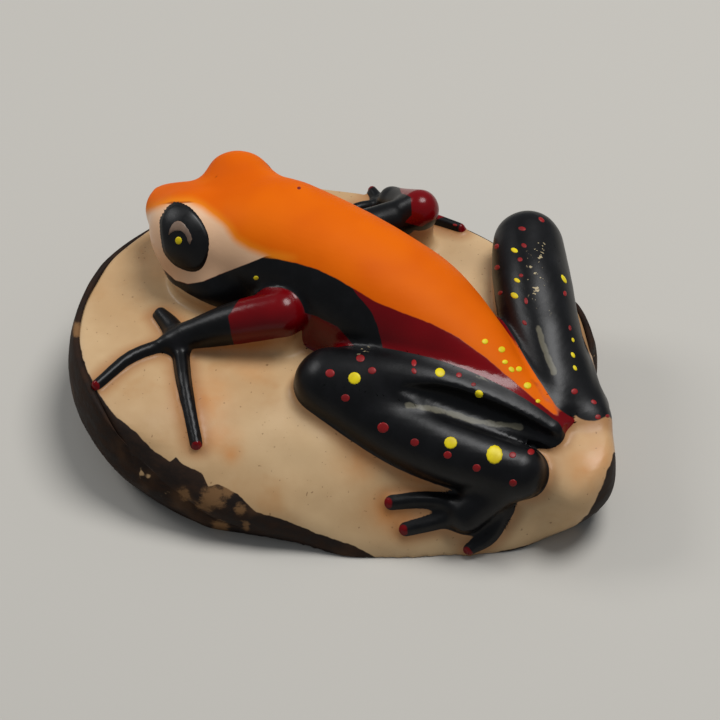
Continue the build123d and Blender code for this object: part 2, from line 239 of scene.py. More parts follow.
# Dots of paint: pixel, half length, half width, and lean in degrees where they have one
YELLOW_DOTS = (
    (354.4, 378.3, 6.4, 6.2), (440, 372.5, 5.2, 4.6, 20), (479, 394, 4.4, 4, 40), (450.6, 442.8, 6.6, 6.2),
    (494.5, 454.6, 9.6, 8.4, 90), (514.3, 250.3, 3.8, 2.3, 25), (517, 280.4, 3.4, 2, 30),
    (514.4, 295.6, 4.2, 2.8, 30), (564, 279, 5, 1.7, 60), (573, 340, 2.4, 1.3, 70), (573, 355, 3.2, 1.7, 60),
    (575, 368, 3, 1.7, 60), (485, 341.5, 3.2, 2.8), (501.8, 349.5, 3.6, 3.2), (505, 362, 3, 2.4),
    (511.5, 369.5, 3.4, 2.6, 40), (519, 369, 3.2, 2.8), (527.5, 385.5, 4, 3.4), (256, 278, 2.6, 2.2),
    (538, 401, 2.4, 2),
)
RED_DOTS = (
    (360.4, 358.3, 4.4, 3.8), (372, 370.6, 4.2, 3.6), (330, 373.3, 4.8, 4.2), (345.4, 398, 4.4, 3.8),
    (383, 427.7, 5.8, 5.4), (414.6, 442.4, 4.4, 4), (447.6, 455, 4.2, 3.8), (476.6, 468, 4.2, 3.8),
    (512.6, 455, 3.6, 3.2), (531, 451.8, 3.6, 3.2), (513, 483, 4, 3.6), (414, 363, 3.6, 2.6, 90),
    (414, 371, 3.2, 2.4, 60), (459, 375, 3, 2.6), (473.5, 384.5, 2.4, 2), (541.5, 219.6, 3.6, 1.9, 40),
    (522, 228.7, 4, 2.1, 10), (496.5, 246.5, 3, 2.2, 120), (524, 245.5, 3, 2.1, 30), (520, 259.5, 2.6, 2.2),
    (497, 267.6, 3, 2.4, 140), (521, 275.5, 2.2, 1.8), (500, 293, 2.8, 1.9, 140), (526, 301, 3.4, 1.9, 80),
    (524.5, 322.8, 3, 1.9, 50), (565, 293.5, 2.8, 1.7, 80), (570, 328, 2.8, 1.4, 80), (574.5, 391.5, 3.4, 3),
    (593.8, 402, 3.2, 2.1, 30), (598, 417, 3, 2.6), (607.6, 416, 2.2, 1.8), (299, 188, 1.9, 1.5),
    (455, 225, 2.4, 1.2, 15),
)
EYE_CENTRE = (183, 237)
EYE_OUTLINE = (
    (160, 217), (166, 206), (174, 201.5), (181, 202.5), (190, 207), (198.5, 216), (205, 227), (209, 239),
    (208, 255), (202, 268), (192, 272), (178, 267.5), (169, 260), (163, 251), (160.5, 238), (159.5, 227),
)
EYE_PUPIL = (179, 240.3, 3.9, 3.4, 90)
CRESCENT_OUTER = (
    (169.2, 234.4), (170.4, 229), (172.4, 225), (175, 222.4), (178, 221.2), (181.4, 221.8), (185, 224.6),
    (188.8, 229.6), (191.4, 234.6), (192.4, 239), (190.6, 243.8),
)
CRESCENT_INNER = (
    (169.8, 235), (171, 233.4), (172.8, 232.2), (175, 231.4), (177.6, 231), (180, 231.2), (182.4, 232.2),
    (184.8, 234.4), (186.4, 237.2), (187.4, 240.6), (189.6, 244),
)

# Each paint's two tones, and single tones, as screen colours
IVORY = ((200, 169, 128), (184, 150, 109))
IVORY_CLOUD = (172, 122, 72)
# Amber of the staining, and of the painted shade under the near limbs
IVORY_AMBER_STAIN_AND_SHADE = (194, 126, 64)
# Painted shade in the creases round the frog
IVORY_CREASE_SHADE = (150, 92, 44)
IVORY_SPECK = (120, 88, 56)
COAT = ((26, 16, 10), (48, 31, 20))
COAT_WORN = (80, 55, 34)
COAT_SCUFF = (130, 95, 60)
ORANGE = ((208, 88, 0), (220, 100, 1))
ORANGE_YELLOWED = (226, 132, 26)
RED = ((92, 0, 5), (114, 3, 10))
BLACK = ((7, 7, 8), (14, 14, 16))
CHEEK = ((228, 186, 150), (214, 172, 136))
STREAK = (92, 88, 74)
CHIP = (168, 152, 118)
YELLOW_DOT = ((228, 208, 10), (208, 184, 8))
RED_DOT = ((146, 16, 18), (112, 10, 14))
EYE_BLACK = ((5, 5, 6), (9, 9, 10))
EYE_GREY = ((124, 102, 86), (104, 84, 72))
FLOOR_TONE = (184, 180, 172)

# The grid's step, how far from a form its field is followed, and how near points are welded
STEP = 0.26
MARGIN = 2.5
FAR = 3.0
WELD_REACH = 0.0002
SLOPE_STEP = 0.08

# How wide the fillets and rounded edges are
RIM_EDGE = 0.3
RIM_ROUND = 2.0
KNOB_FILLET = 3.6
KNOB_EDGE = 0.8
WALL_FILLET = 1.0
DIGIT_FILLET = 0.8
JAW_FILLET = 1.6
EYE_FILLET = 1.8
BODY_FILLET = 0.9
FOOT_FILLET = 0.9
HOLLOW_EDGE = 0.6
LEG_FILLET = 1.0
ARM_FILLET = 0.6
HAND_FILLET = 0.5
# Each leg's fillet between thigh and shank, what its knee adds, and how far from the knee
KNEE_FILLETS = {"left": (0.7, 2.2), "right": (2.8, 0.4)}
KNEE_REACH = 6.0

# The knife's marks: their size, seed and depth on the nut, and what the frog adds
KNIFE = ((3.4, 7, 0.05, 0.12), (1.3, 8, 0.015, 0.0))
KNIFE_INSET = 0.06
KERNEL_REACH = 0.25
WALL_SHARE = 0.8
SLOPE_FADE = 1.5
RED_TIP = 0.5

# The far side's paint runs lower, out of the camera's view
FAR_PAINT_DROP = 44.0
FAR_PAINT_TURN = 75.0
FAR_EYE_DROP = 62.0

# The seed coat's remnants
COAT_STEP = 0.3
COAT_ROWS = 27
COAT_ROUGH = 0.06
COAT_LUMPS = ((2.6, 4, 1, 0.04), (0.9, 5, 2, 0.02))
COAT_RAGGED = 0.03
COAT_FADE = 2.0
COAT_LOW = 3.2
COAT_SINK = 0.45
COAT_UPPER = 0.45
RIM_DROP = 0.9
FAR_RIM_START = 0.42
FAR_RIM_DROP = 1.0

# Raised paint: its heights, and how it is divided
EYE_LIFT = 0.14
EYE_GROUND = EYE_LIFT * 0.9
CRESCENT_LIFT = 0.05
PUPIL_LIFT = 0.08
YELLOW_LIFT = 0.06
RED_LIFT = 0.04
PATCH_SINK = 0.04
PATCH_ROWS = 6
DOT_SIDES = 12


def place(across, along, rise):
    """A point of the frog, from shares of its stance, its length and its back's rise."""
    scale = (FROG_STANCE / 2, FROG_LENGTH / 2, BACK_RISE)
    return np.array((across, along, rise)) * scale + (-FROG_SHIFT, -FROG_ADVANCE, DECK_HEIGHT)


def curve(points, steps, closed=False):
    """A smooth curve through points, as a run of short chords."""
    points = np.array(points, float)
    if closed:
        ends = np.vstack([points[-1:], points, points[:2]])
    else:
        ends = np.vstack([2 * points[0] - points[1], points, 2 * points[-1] - points[-2]])
    share = np.arange(steps)[:, None] / steps
    runs = []
    for a, b, c, d in zip(ends, ends[1:], ends[2:], ends[3:]):
        linear = (c - a) * share
        square = (2 * a - 5 * b + 4 * c - d) * share**2
        cube = (3 * b - a - 3 * c + d) * share**3
        runs.append(0.5 * (2 * b + linear + square + cube))
    if not closed:
        runs.append(points[-1:])
    return np.vstack(runs)


def blend(a, b, reach):
    """Two forms joined with a fillet about as wide as reach."""
    near = np.maximum(reach - np.abs(a - b), 0) / reach
    return np.minimum(a, b) - near * near * reach / 4


def meet(a, b, reach):
    """What two forms share, its edge rounded."""
    return -blend(-a, -b, reach)


def lumps(points, size, seed):
    """Smooth noise between -1 and 1, with lumps about as large as size."""
    count = 32
    lattice = np.random.default_rng(seed).uniform(-1, 1, (count, count, count))
    cell = points / size
    low = np.floor(cell).astype(int)
    share = cell - low
    share = share * share * (3 - 2 * share)
    total = np.zeros(len(points))
    for corner in np.ndindex(2, 2, 2):
        step = np.array(corner[::-1])
        weight = np.prod(np.where(step, share, 1 - share), axis=1)
        total += weight * lattice[tuple(((low + step) % count).T)]
    return total


outline = curve(np.array(OUTLINE) * (NUT_WIDTH / 2, NUT_LENGTH / 2), 16, closed=True)
outline_turn = np.arctan2(outline[:, 0], outline[:, 1])
outline_reach = np.hypot(outline[:, 0], outline[:, 1])
levels = curve(np.array(LEVELS) * (NUT_HEIGHT, 1), 8)
slope_turn = math.radians(SLOPE_DIRECTION)


def edge_at(turn):
    return np.interp(turn, outline_turn, outline_reach, period=2 * math.pi)


def breadth_at(height):
    return np.interp(height, levels[:, 0], levels[:, 1])


def carved_height(x, y):
    run = (x * math.cos(slope_turn) + y * math.sin(slope_turn) - SLOPE_START) / SLOPE_RUN
    return DECK_HEIGHT - SLOPE_DROP * np.clip(run, 0, 1.3) ** SLOPE_POWER


def side_field(points, coat):
    """How far outside the nut's uncut side a point is, less a coat of some thickness."""
    reach = np.hypot(points[:, 0], points[:, 1])
    turn = np.arctan2(points[:, 0], points[:, 1])
    return (reach - (edge_at(turn) - coat) * breadth_at(points[:, 2])) * 0.94


def top_field(points):
    return (points[:, 2] - carved_height(points[:, 0], points[:, 1])) * 0.92


def ellipsoid(points, centre, axis, radius, half_depth):
    """An ellipsoid round an axis."""
    axis = np.array(axis) / np.linalg.norm(axis)
    offset = points - centre
    along = offset @ axis
    across = np.sqrt(np.maximum((offset * offset).sum(axis=1) - along * along, 0))
    level = np.hypot(along / half_depth, across / radius)
    slope = np.hypot(along / half_depth**2, across / radius**2) + 1e-9
    return level * (level - 1) / slope


def limb_field(points, places, radii):
    """A bowed limb with round ends that swells or wastes at its middle."""
    start, middle, end = places
    axis = end - start
    bow = middle - (start + end) / 2
    share = np.clip((points - start) @ axis / (axis @ axis), 0, 1)
    for _ in range(3):
        gap = points - start - share[:, None] * axis - (4 * share * (1 - share))[:, None] * bow
        heading = axis + (4 - 8 * share)[:, None] * bow
        share = np.clip(share + (gap * heading).sum(axis=1) / (heading * heading).sum(axis=1), 0, 1)
    bulge = 4 * share * (1 - share)
    gap = points - start - share[:, None] * axis - bulge[:, None] * bow
    radius = radii[0] + (radii[2] - radii[0]) * share + (radii[1] - (radii[0] + radii[2]) / 2) * bulge
    return np.linalg.norm(gap, axis=1) - radius


def strand(points, path, radii):
    """A round form along a smooth path, with a radius at each of its points."""
    path = curve(np.column_stack([path, radii]), 4)
    field = np.full(len(points), FAR)
    for start, end in zip(path, path[1:]):
        axis = end[:3] - start[:3]
        share = np.clip((points - start[:3]) @ axis / (axis @ axis), 0, 1)
        radius = start[3] + (end[3] - start[3]) * share
        field = np.minimum(field, np.linalg.norm(points - start[:3] - share[:, None] * axis, axis=1) - radius)
    return field


def side_point(across, along, height_share):
    """A point of the nut's side, from shares of its breadths and of the deck's height."""
    height = DECK_HEIGHT * height_share
    half = np.array((NUT_WIDTH, NUT_LENGTH)) / 2 - HUSK_THICKNESS
    return np.array((*half * breadth_at(height) * (across, along), height))


def palm_ends(name):
    """A palm's start inside its limb's end, and its end on the carved top."""
    radius, limb, (across, along, lift) = PALMS[name]
    end = place(across, along, 0)
    end[2] = carved_height(end[0], end[1]) + radius * lift
    return place(*LIMBS[limb][2]), end


def digit_radius(name):
    return TOE_RADIUS if "foot" in name else FINGER_RADIUS


def digit_paths(name):
    """The paths of a hand's or foot's digits, lying on the carved top or on the nut's side."""
    paths = []
    for shares in DECK_DIGITS.get(name, ()):
        path = [place(across, along, 0) for across, along in shares]
        for point in path:
            point[2] = carved_height(point[0], point[1]) + digit_radius(name) * DIGIT_LIFT
        paths.append(path)
    for shares in FAR_TOES if name == "right_foot" else ():
        paths.append([palm_ends(name)[1], *[side_point(*share) for share in shares]])
    return paths


def within(points, places, below, above, field):
    """A field worked out only near the places that it belongs to."""
    low = np.min(places, axis=0) - below - MARGIN
    high = np.max(places, axis=0) + above + MARGIN
    near = np.all((points > low) & (points < high), axis=1)
    values = np.full(len(points), FAR)
    values[near] = field(points[near])
    return values


torso_scale = (FROG_LENGTH / 2, BODY_WIDTH / 2, BODY_WIDTH / 2, BACK_RISE, BACK_RISE)
torso_start = (-FROG_ADVANCE, -FROG_SHIFT, 0, DECK_HEIGHT, DECK_HEIGHT)
torso_rows = curve(np.array(TORSO) * torso_scale + torso_start, 8)


def torso_part(points, column):
    return np.interp(points[:, 1], torso_rows[:, 0], torso_rows[:, column])


def torso_field(points):
    """The head and torso: rounded boxes along the frog."""
    half = np.maximum(torso_part(points, 2), 0.05)
    top = torso_part(points, 3)
    bottom = torso_part(points, 4)
    half_height = np.maximum((top - bottom) / 2, 0.05)
    across = np.abs((points[:, 0] - torso_part(points, 1)) / half) ** SECTION_POWER
    rise = np.abs((points[:, 2] - (top + bottom) / 2) / half_height) ** SECTION_POWER
    field = ((across + rise) ** (1 / SECTION_POWER) - 1) * np.minimum(half, half_height)
    ends = np.maximum(torso_rows[0, 0] - points[:, 1], points[:, 1] - torso_rows[-1, 0])
    return np.maximum(field, ends)


def wall_field(points, start, end, shares):
    """The wall of nut left standing under a raised arm, up to the arm's middle."""
    axis = (end - start)[:2]
    share = np.clip((points[:, :2] - start[:2]) @ axis / (axis @ axis), 0, 1)
    middle = start[:2] + share[:, None] * axis
    width = ARM_RADIUS * WALL_SHARE * (shares[0] + (shares[2] - shares[0]) * share)
    flank = np.hypot(*(points[:, :2] - middle).T) - width
    height = start[2] + (end[2] - start[2]) * share
    return meet(flank, points[:, 2] - height, RIM_EDGE)


def slope_share(height):
    """How far the top has sloped away: nothing on the deck, all below it."""
    return np.clip((DECK_HEIGHT - height) / SLOPE_FADE, 0, 1)


def fields(points):
    """The field of each named form of the carving."""
    rim = RIM_EDGE + RIM_ROUND * slope_share(carved_height(points[:, 0], points[:, 1]))
    kernel = meet(side_field(points, COAT_DEPTH), top_field(points), rim)
    knob = ellipsoid(points, place(*KNOB), (0, 0, 1), KNOB_BREADTH / 2, KNOB_HEIGHT / 2)
    kernel = meet(blend(kernel, knob, KNOB_FILLET), side_field(points, KERNEL_REACH), KNOB_EDGE)
    for name in ARMS:
        start, _, end, shares = LIMBS[name]
        ends = (place(*start), place(*end))
        wall = within(points, ends, (2, 2, 8), 2, lambda near: wall_field(near, *ends, shares))
        kernel = blend(kernel, wall, WALL_FILLET)
    found = {"nut_base": np.maximum(kernel, -points[:, 2]), "torso": torso_field(points)}
    for name, (centre, aim) in EYES.items():
        found[name] = ellipsoid(points, place(*centre), aim, EYE_BREADTH / 2, EYE_DEPTH / 2)
    for name, (*places, shares) in LIMBS.items():
        places = np.array([place(*point) for point in places])
        radius = LIMB_RADII[name.partition("_")[2]]
        radii = [radius * share for share in shares]
        found[name] = within(points, places, radius, radius, lambda near: limb_field(near, places, radii))
    for name, (radius, *_) in PALMS.items():
        paths = digit_paths(name)
        ends = palm_ends(name)
        thickness = digit_radius(name)

        def palm_field(near):
            field = strand(near, ends, (radius, radius))
            for path in paths:
                stout = STOUT_DIGIT if name == "left_hand" and path is paths[0] else 1.0
                radii = np.linspace(thickness, thickness * DIGIT_TAPER, len(path)) * stout
                field = blend(field, strand(near, path, radii), DIGIT_FILLET)
            return field

        found[name] = within(points, np.vstack([ends, *paths]), radius, radius, palm_field)
    return found


def nearest(found, names):
    """The field of several forms taken as one."""
    return np.min([found[name] for name in names], axis=0)


ORDER = ["nut_base", "torso", *EYES, *LIMBS, *PALMS]
hollow = None


def joined(points, found=None):
    """All the forms as one surface, with their fillets and the hollow between thigh and shank."""
    found = found or fields(points)
    body = found["torso"]
    for jaw in JAWS:
        body = blend(body, ellipsoid(points, place(*jaw), (0, 1, 0), JAW_RADIUS, JAW_HALF_LENGTH), JAW_FILLET)
    for name in EYES:
        body = blend(body, found[name], EYE_FILLET)
    whole = blend(found["nut_base"], body, BODY_FILLET)
    for side, (fillet, at_knee) in KNEE_FILLETS.items():
        knee = place(*LIMBS[f"{side}_thigh"][2])
        near_knee = np.exp(-((np.linalg.norm(points - knee, axis=1) / KNEE_REACH) ** 2))
        leg = blend(found[f"{side}_thigh"], found[f"{side}_shank"], fillet + at_knee * near_knee)
        leg = blend(leg, found[f"{side}_foot"], FOOT_FILLET)
        if side == "left" and hollow:
            hole = within(points, hollow[0], 1, 1, lambda near: strand(near, *hollow))
            leg = meet(leg, -hole, HOLLOW_EDGE)
        whole = blend(whole, leg, LEG_FILLET)
    for name in ARMS:
        whole = blend(whole, found[name], ARM_FILLET)
    for name in ("left_hand", "right_hand"):
        whole = blend(whole, found[name], HAND_FILLET)
    return whole


def rays(pixels):
    """The direction of each of the photograph's pixels from the camera."""
    offset = np.array(pixels, float) - IMAGE_SIDE / 2
    aim = offset[:, :1] * camera_right - offset[:, 1:] * camera_up - focal * camera_back
    return aim / np.linalg.norm(aim, axis=1, keepdims=True)


def project(points):
    """The photograph's pixel of each point."""
    offset = points - camera_place
    depth = offset @ -camera_back
    across = IMAGE_SIDE / 2 + focal * (offset @ camera_right) / depth
    down = IMAGE_SIDE / 2 - focal * (offset @ camera_up) / depth
    return np.stack([across, down], axis=1)


def seen(pixels):
    """Where the carving's surface lies under each of the photograph's pixels."""
    aim = rays(pixels)
    reach = np.full(len(aim), camera_reach - 40)
    for _ in range(90):
        reach += np.clip(joined(camera_place + reach[:, None] * aim), -1, 1) * 0.7
    return camera_place + reach[:, None] * aim


dots = np.array(HOLLOW)
hollow = (seen(dots[:, :2]), dots[:, 2])

low_corner = np.array([-NUT_WIDTH / 2 - 1.5, -NUT_LENGTH / 2 - 1.5, -2 * STEP])
high_corner = np.array([NUT_WIDTH / 2 + 1.5, NUT_LENGTH / 2 + 2.5, 20.0])
counts = np.ceil((high_corner - low_corner) / STEP).astype(int) + 1
grid = np.indices(counts).reshape(3, -1).T.copy() * STEP + low_corner
found = fields(grid)
whole = joined(grid, found)
NAMES = ["outside", *ORDER, "head"]
owners = np.argmin([found[name] for name in ORDER], axis=0) + 1
in_head = (owners == NAMES.index("torso")) & (grid[:, 1] < place(0, NECK_SHARE, 0)[1])
owners[in_head] = NAMES.index("head")
owners[whole >= 0] = 0

# A grid point with no neighbour of its own form goes to the form beside it
owners = owners.reshape(counts)
beside = np.array([np.roll(owners, step, axis) for axis in range(3) for step in (1, -1)])
lone = (beside != owners).all(axis=0) & (owners > 0)
owners[lone] = beside.max(axis=0)[lone]


def net(values, owners):
    """A surface between every two owners on the grid, one point to each mixed cell."""
    first = owners[:-1, :-1, :-1]
    mixed = np.zeros(first.shape, bool)
    nx, ny, nz = first.shape
    for i, j, k in np.ndindex(2, 2, 2):
        mixed |= owners[i : nx + i, j : ny + j, k : nz + k] != first
    cells = np.argwhere(mixed)
    number = np.full(first.shape, -1)
    number[mixed] = np.arange(len(cells))
    totals = np.zeros((2, len(cells), 3))
    weights = np.zeros((2, len(cells), 1))
    for axis, u, v in np.ndindex(3, 2, 2):
        step = np.insert((u, v), axis, 0)
        near = tuple((cells + step).T)
        far = tuple((cells + step + np.eye(3, dtype=int)[axis]).T)
        outer = (owners[near] == 0) != (owners[far] == 0)
        inner = (owners[near] != owners[far]) & ~outer
        gap = values[near] - values[far]
        point = np.tile(step.astype(float), (len(cells), 1))
        point[:, axis] = np.clip(np.where(outer, values[near] / np.where(gap == 0, 1, gap), 0.5), 0, 1)
        for kind, chosen in enumerate((outer, inner)):
            totals[kind] += point * chosen[:, None]
            weights[kind] += chosen[:, None]
    on_surface = weights[0, :, 0] > 0
    total = np.where(on_surface[:, None], *totals)
    weight = np.where(on_surface[:, None], *weights)
    points = (cells + total / weight) * STEP + low_corner
    quads, sides = [], []
    for axis in range(3):
        edges = np.argwhere(np.diff(owners, axis=axis))
        turns = ((-1, -1), (0, -1), (0, 0), (-1, 0))
        ring = [number[tuple((edges + np.insert(turn, axis, 0)).T)] for turn in turns]
        quads.append(np.stack(ring[::-1] if axis == 1 else ring, axis=1))
        ends = (edges, edges + np.eye(3, dtype=int)[axis])
        sides.append(np.stack([owners[tuple(end.T)] for end in ends], axis=1))
    return points, on_surface, np.vstack(quads), np.vstack(sides)


points, on_surface, quads, sides = net(whole.reshape(counts), owners)


def slope_of(points):
    """The direction in which the joined surface's field grows."""
    slope = [joined(points + step) - joined(points - step) for step in np.eye(3) * SLOPE_STEP]
    return np.stack(slope, axis=1) / (np.linalg.norm(slope, axis=0)[:, None] + 1e-9)


# The net's points are drawn onto the surface, marked by the knife and kept above the floor
surface = points[on_surface]
on_floor = surface[:, 2] < 0.02
outward = slope_of(surface)
depth = joined(surface)
surface = surface - outward * np.clip(depth, -STEP / 2, STEP / 2)[:, None]
surface[:, 2] = np.where(on_floor, 0, np.maximum(surface[:, 2], 0))
carved = np.clip(nearest(fields(surface), ORDER[1:]), 0, 1)
knife = sum(lumps(surface, size, seed) * (depth + extra * carved) for size, seed, depth, extra in KNIFE)
points[on_surface] = surface + outward * np.where(on_floor, 0, knife - KNIFE_INSET)[:, None]
points[:, 2] = np.maximum(points[:, 2], 0)


def to_lines(pixels, *lines):
    """Distance in pixels from the nearest of some lines."""
    best = np.full(len(pixels), np.inf)
    for line in lines:
        line = np.array(line, float)
        for start, end in zip(line, line[1:]):
            axis = end - start
            share = np.clip((pixels - start) @ axis / (axis @ axis), 0, 1)
            best = np.minimum(best, np.hypot(*(pixels - start - share[:, None] * axis).T))
    return best


def inside(pixels, border):
    """Which pixels are inside a closed border."""
    border = np.array(border, float)
    result = np.zeros(len(pixels), bool)
    for start, end in zip(border, np.roll(border, -1, axis=0)):
        if start[1] == end[1]:
            continue
        crosses = (start[1] > pixels[:, 1]) != (end[1] > pixels[:, 1])
        at = start[0] + (pixels[:, 1] - start[1]) * (end[0] - start[0]) / (end[1] - start[1])
        result ^= crosses & (pixels[:, 0] < at)
    return result


def region(pixels, border, close=()):
    """Millimetres inside a painted region, negative outside it."""
    gap = to_lines(pixels, border if close else [*border, border[0]]) / PIXELS_PER_MM
    return np.where(inside(pixels, [*border, *close]), gap, -gap)


def near_twin(points):
    """The point of the near side whose paint each point takes."""
    middle = torso_part(points, 1)
    top = torso_part(points, 3)
    level = np.maximum((top + torso_part(points, 4)) / 2, DECK_HEIGHT + (top - DECK_HEIGHT) * 0.3)
    across = middle - points[:, 0]
    rise = points[:, 2] - level
    lean = np.degrees(np.arctan2(across, rise))
    share = np.clip(lean / FAR_PAINT_TURN, 0, 1)
    lean = np.radians(lean - FAR_PAINT_DROP * share * share * (3 - 2 * share))
    reach = np.hypot(across, rise)
    twin = points.copy()
    far = across > 0
    twin[far, 0] = (middle + reach * np.sin(lean))[far]
    twin[far, 2] = (level + reach * np.cos(lean))[far]
    return twin


def soft_spots(pixels, spots):
    """Soft round spots: each spot's pixel and reach."""
    share = np.zeros(len(pixels))
    for across, down, reach in spots:
        share = np.maximum(share, np.exp(-(((pixels - (across, down)) ** 2).sum(axis=1)) / reach**2))
    return share


# Paint regions, as distances carried by the surface's points
forms = fields(points)
flank_pixels = project(near_twin(points))
pixels = project(points)
body = nearest(forms, ["torso", *EYES])
limbs = nearest(forms, [*LIMBS, *PALMS])
legs = nearest(forms, LEGS)
red = np.max([region(pixels, border) for border in ARMS_RED], axis=0)
red = np.where(nearest(forms, ARMS) < legs, red, -1)
for name in PALMS:
    for *_, knuckle, end in digit_paths(name):
        tip = end + (end - knuckle) / np.linalg.norm(end - knuckle) * RED_TIP / 2
        red = np.maximum(red, RED_TIP - np.linalg.norm(points - tip, axis=1))
streak = (STREAK_HALF_WIDTH - to_lines(pixels, *STREAKS)) / PIXELS_PER_MM
attributes = {
    "bare": np.minimum(body, limbs) - forms["nut_base"],
    "limb": body - limbs,
    "orange": region(flank_pixels, ORANGE_BORDER, ORANGE_CLOSE),
    "black": region(flank_pixels, BLACK_BAND),
    "cream": region(flank_pixels, CREAM_CHEEK),
    "red": red,
    "streak": np.where(legs < body, np.maximum(streak, -1), -1),
    "coat": np.maximum(region(pixels, COAT_BORDER, COAT_CLOSE), region(pixels, TAIL_COAT)),
    # Distance from the frog's forms, by which painted shade darkens the ivory in its creases
    "gap": np.minimum(body, limbs),
    "worn": np.maximum(WORN_HALF_WIDTH - to_lines(pixels, *WORN_LINES) / PIXELS_PER_MM, -1),
    # Amber spots: staining of the ivory, and painted shade under the near arm and leg
    "amber": soft_spots(pixels, AMBER_STAINS_AND_SHADE),
    "scuff": soft_spots(pixels, COAT_SCUFFS),
}


def linear(colour):
    """A screen colour, 0 to 255, as Blender's own values."""
    shares = np.array(colour) / 255
    return (*np.where(shares < 0.04045, shares / 12.92, ((shares + 0.055) / 1.055) ** 2.4), 1.0)


class Shader:
    """A material's nodes, added one by one, each by the socket that it gives out."""

    def __init__(self, name):
        self.material = bpy.data.materials.new(name)
        self.material.use_nodes = True
        self.tree = self.material.node_tree
        self.place = self.add("ShaderNodeTexCoord", "Object", {})

    def put(self, node, inputs):
        for key, value in inputs.items():
            if isinstance(value, bpy.types.NodeSocket):
                self.tree.links.new(value, node.inputs[key])
            else:
                node.inputs[key].default_value = value

    def add(self, kind, output, inputs, **settings):
        node = self.tree.nodes.new(kind)
        for key, value in settings.items():
            setattr(node, key, value)
        self.put(node, inputs)
        return node.outputs[output]

    def finish(self, inputs):
        self.put(self.tree.nodes["Principled BSDF"], inputs)
        return self.material

    def noise(self, scale, detail=3, roughness=0.55, stretch=None):
        place = self.place
        if stretch:
            place = self.add("ShaderNodeMapping", "Vector", {"Vector": place, "Scale": (1, 1, stretch)})
        inputs = {"Scale": scale, "Detail": detail, "Roughness": roughness, "Vector": place}
        return self.add("ShaderNodeTexNoise", "Fac", inputs)

    def math(self, operation, first, second):
        return self.add("ShaderNodeMath", 0, {0: first, 1: second}, operation=operation)

    def ramp(self, value, low, high, start=0, end=1):
        inputs = {"Value": value, "From Min": low, "From Max": high, "To Min": start, "To Max": end}
        return self.add("ShaderNodeMapRange", "Result", inputs, interpolation_type="SMOOTHSTEP")

    def mix(self, share, first, second):
        return self.add("ShaderNodeMix", 2, {"Factor": share, 6: first, 7: second}, data_type="RGBA")

    def blend(self, share, first, second):
        return self.add("ShaderNodeMix", 0, {"Factor": share, 2: first, 3: second}, data_type="FLOAT")

    def tones(self, value, paint, low=0.3, high=0.7):
        """A paint's two tones, by a noise between low and high."""
        return self.mix(self.ramp(value, low, high), linear(paint[0]), linear(paint[1]))

    def carried(self, name):
        return self.add("ShaderNodeAttribute", "Fac", {}, attribute_name=name)

    def edge(self, name, width=0.05, wander=0.05):
        """A painted region's share, with a slightly unsteady edge."""
        drift = self.math("MULTIPLY", self.math("SUBTRACT", self.noise(900, 2), 0.5), 2 * wander)
        within = self.math("DIVIDE", self.math("ADD", self.carried(name), drift), width)
        return self.ramp(within, -1, 1)

    def bump(self, height, strength, distance, **normal):
        inputs = {"Height": height, "Strength": strength, "Distance": distance, **normal}
        return self.add("ShaderNodeBump", "Normal", inputs)


def ivory_layer(mat):
    """Polished vegetable ivory: cream with amber staining, pale haze and fine pits, and painted shade in
    amber spots under the near limbs and in the creases round the frog.
    """
    patch = mat.noise(210, 3, 0.6)
    colour = mat.tones(mat.noise(95, 4), IVORY, 0.35, 0.65)
    colour = mat.mix(mat.ramp(patch, 0.54, 0.78, 0, 0.4), colour, linear(IVORY_CLOUD))
    # Amber spots: real staining at the front left and rump, painted shade under the near arm and leg
    stain_and_shade = mat.math("MULTIPLY", mat.carried("amber"), mat.ramp(patch, 0.3, 0.65, 0.35, 0.8))
    colour = mat.mix(stain_and_shade, colour, linear(IVORY_AMBER_STAIN_AND_SHADE))
    # Painted shade: the ivory darkens within a millimetre and a half of the frog's forms
    crease_shade = mat.ramp(mat.carried("gap"), 0.1, 1.6, 0.6, 0)
    colour = mat.mix(crease_shade, colour, linear(IVORY_CREASE_SHADE))
    specks = mat.ramp(mat.noise(2600, 1), 0.72, 0.78, 0, 0.6)
    colour = mat.mix(specks, colour, linear(IVORY_SPECK))
    return colour, mat.ramp(mat.noise(260, 3), 0.3, 0.7, 0.28, 0.46)


def coat_layer(mat):
    """The nut's brown seed coat, fibrous and dull, with worn tan streaks."""
    grain = mat.noise(420, 5, 0.7, 2.4)
    colour = mat.tones(grain, COAT, 0.35, 0.7)
    colour = mat.mix(mat.ramp(mat.noise(150), 0.55, 0.72, 0, 0.7), colour, linear(COAT_WORN))
    scuffed = mat.math("MULTIPLY", mat.noise(330, 6, 0.75, 1.8), 2.2)
    scuffed = mat.math("ADD", scuffed, mat.carried("scuff"))
    colour = mat.mix(mat.ramp(scuffed, 1.5, 1.95, 0, 0.85), colour, linear(COAT_SCUFF))
    return colour, mat.ramp(grain, 0.3, 0.7, 0.6, 0.85)


